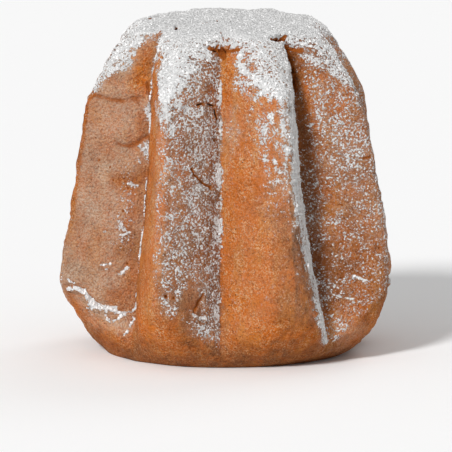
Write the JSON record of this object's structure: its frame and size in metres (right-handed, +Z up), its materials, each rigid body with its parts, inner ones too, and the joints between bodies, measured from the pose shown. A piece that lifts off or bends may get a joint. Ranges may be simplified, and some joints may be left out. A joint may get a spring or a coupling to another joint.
{
  "type": "pandoro loaf",
  "caption": "Tall star-shaped golden sweet loaf with a rounded foot and a flat top, dusted with icing sugar.",
  "frame": {"origin": "middle of the underside, on the plane that the loaf rests on", "axes": "+Z up, from the wide rounded foot to the narrow top; -Y is the front, where a groove between two lobes faces the viewer; +X is to the viewer's right"},
  "size_m": [0.2062, 0.2092, 0.2099],
  "materials": {
    "crust": "golden-brown baked crust, matt, dusted with white icing sugar"
  },
  "bodies": {
    "root": {"pandoro": "crust"}
  },
  "joints": []
}
